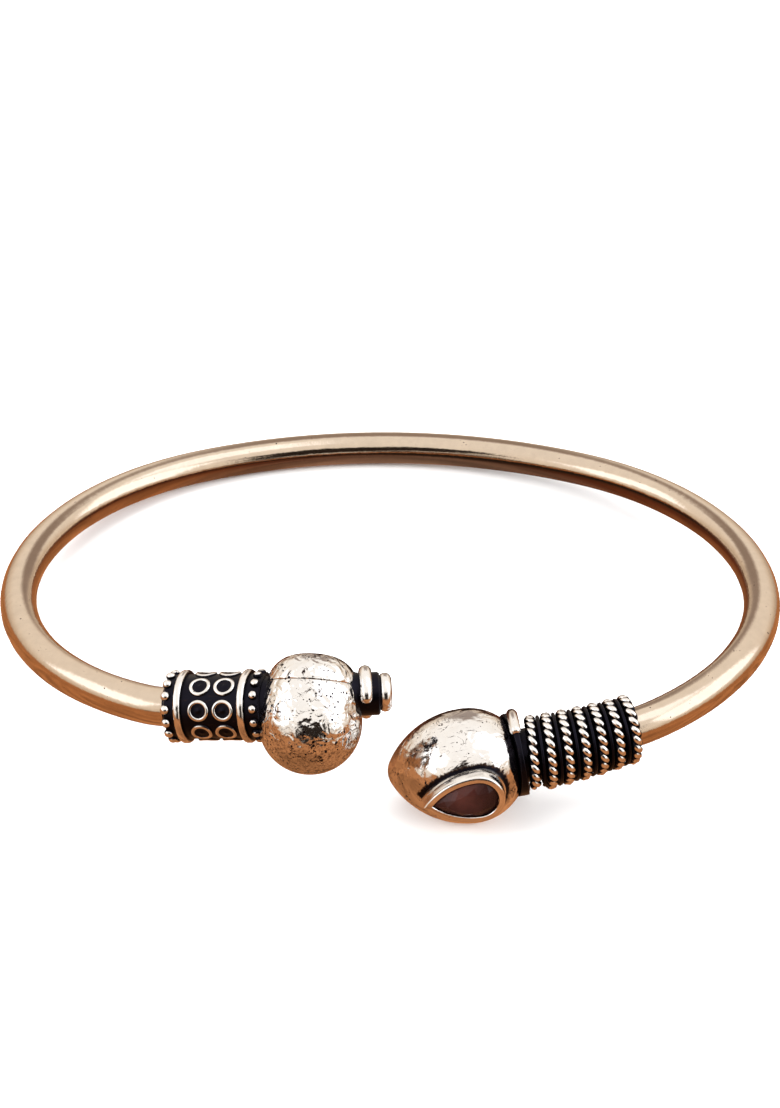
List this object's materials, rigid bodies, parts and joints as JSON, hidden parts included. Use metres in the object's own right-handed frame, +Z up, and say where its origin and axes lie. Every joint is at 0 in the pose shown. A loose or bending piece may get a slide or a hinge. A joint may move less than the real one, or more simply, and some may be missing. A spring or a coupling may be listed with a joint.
{
  "type": "cuff bracelet",
  "caption": "Open bypass cuff bracelet of round silver wire: one end a ringed sleeve and round ball, the other a rope coil and a teardrop set with a garnet-red pear stone",
  "frame": {"origin": "centre of the cuff's outline seen from above, on the table it lies on", "axes": "+X along the cuff's long way, towards the rope-coil end; +Y to the plain back; +Z up from the table"},
  "size_m": [0.0652, 0.0548, 0.0141],
  "materials": {
    "silver": "polished warm silver, mirror-like, with pits and fine scratches",
    "silver_dark": "silver oxidised black in the recesses, rubbed bright on the raised wire and granules",
    "garnet": "polished dark brownish-red faceted stone, garnet in colour"
  },
  "bodies": {
    "root": {"cuff_wire": "silver", "ring_sleeve": "silver_dark", "round_ball": "silver", "end_knob": "silver_dark", "rope_core": "silver_dark", "rope_coil": "silver", "filler_wire": "silver_dark", "bead_cap": "silver_dark", "teardrop_ball": "silver", "pear_stone": "garnet"}
  },
  "joints": []
}
